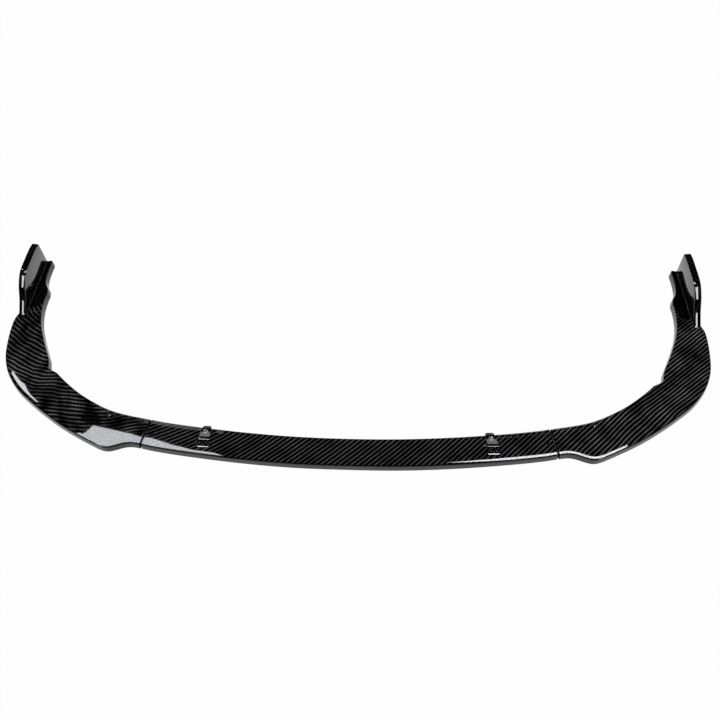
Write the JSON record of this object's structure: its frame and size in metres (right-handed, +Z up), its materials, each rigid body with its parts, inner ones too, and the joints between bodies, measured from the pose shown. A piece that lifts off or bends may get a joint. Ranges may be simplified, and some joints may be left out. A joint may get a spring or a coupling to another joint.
{
  "type": "front splitter lip",
  "caption": "Shallow U-shaped moulded splitter blade with upright side fins, seam joints, bumper brackets and screw holes, fitted under the front bumper of a passenger car",
  "frame": {"origin": "centre of the footprint, on the plane of the blade's lower edges", "axes": "+X along the width of the car to the blade's left-hand side as seen from its back, +Y from the front edge back along the car, +Z up, out of the upper face"},
  "size_m": [1.8202, 0.59, 0.1036],
  "materials": {
    "blade": "black twill print under high gloss clear coat",
    "bracket": "gloss black",
    "bolt": "black zinc",
    "screw": "bright zinc"
  },
  "bodies": {
    "root": {"centre_section": "blade", "left_section": "blade", "right_section": "blade", "left_bracket": "bracket", "right_bracket": "bracket", "left_bracket_bolt": "bolt", "right_bracket_bolt": "bolt", "left_bracket_nut": "bolt", "right_bracket_nut": "bolt", "left_bracket_rivets": "bracket", "right_bracket_rivets": "bracket", "left_seam_screw": "screw", "right_seam_screw": "screw"}
  },
  "joints": []
}
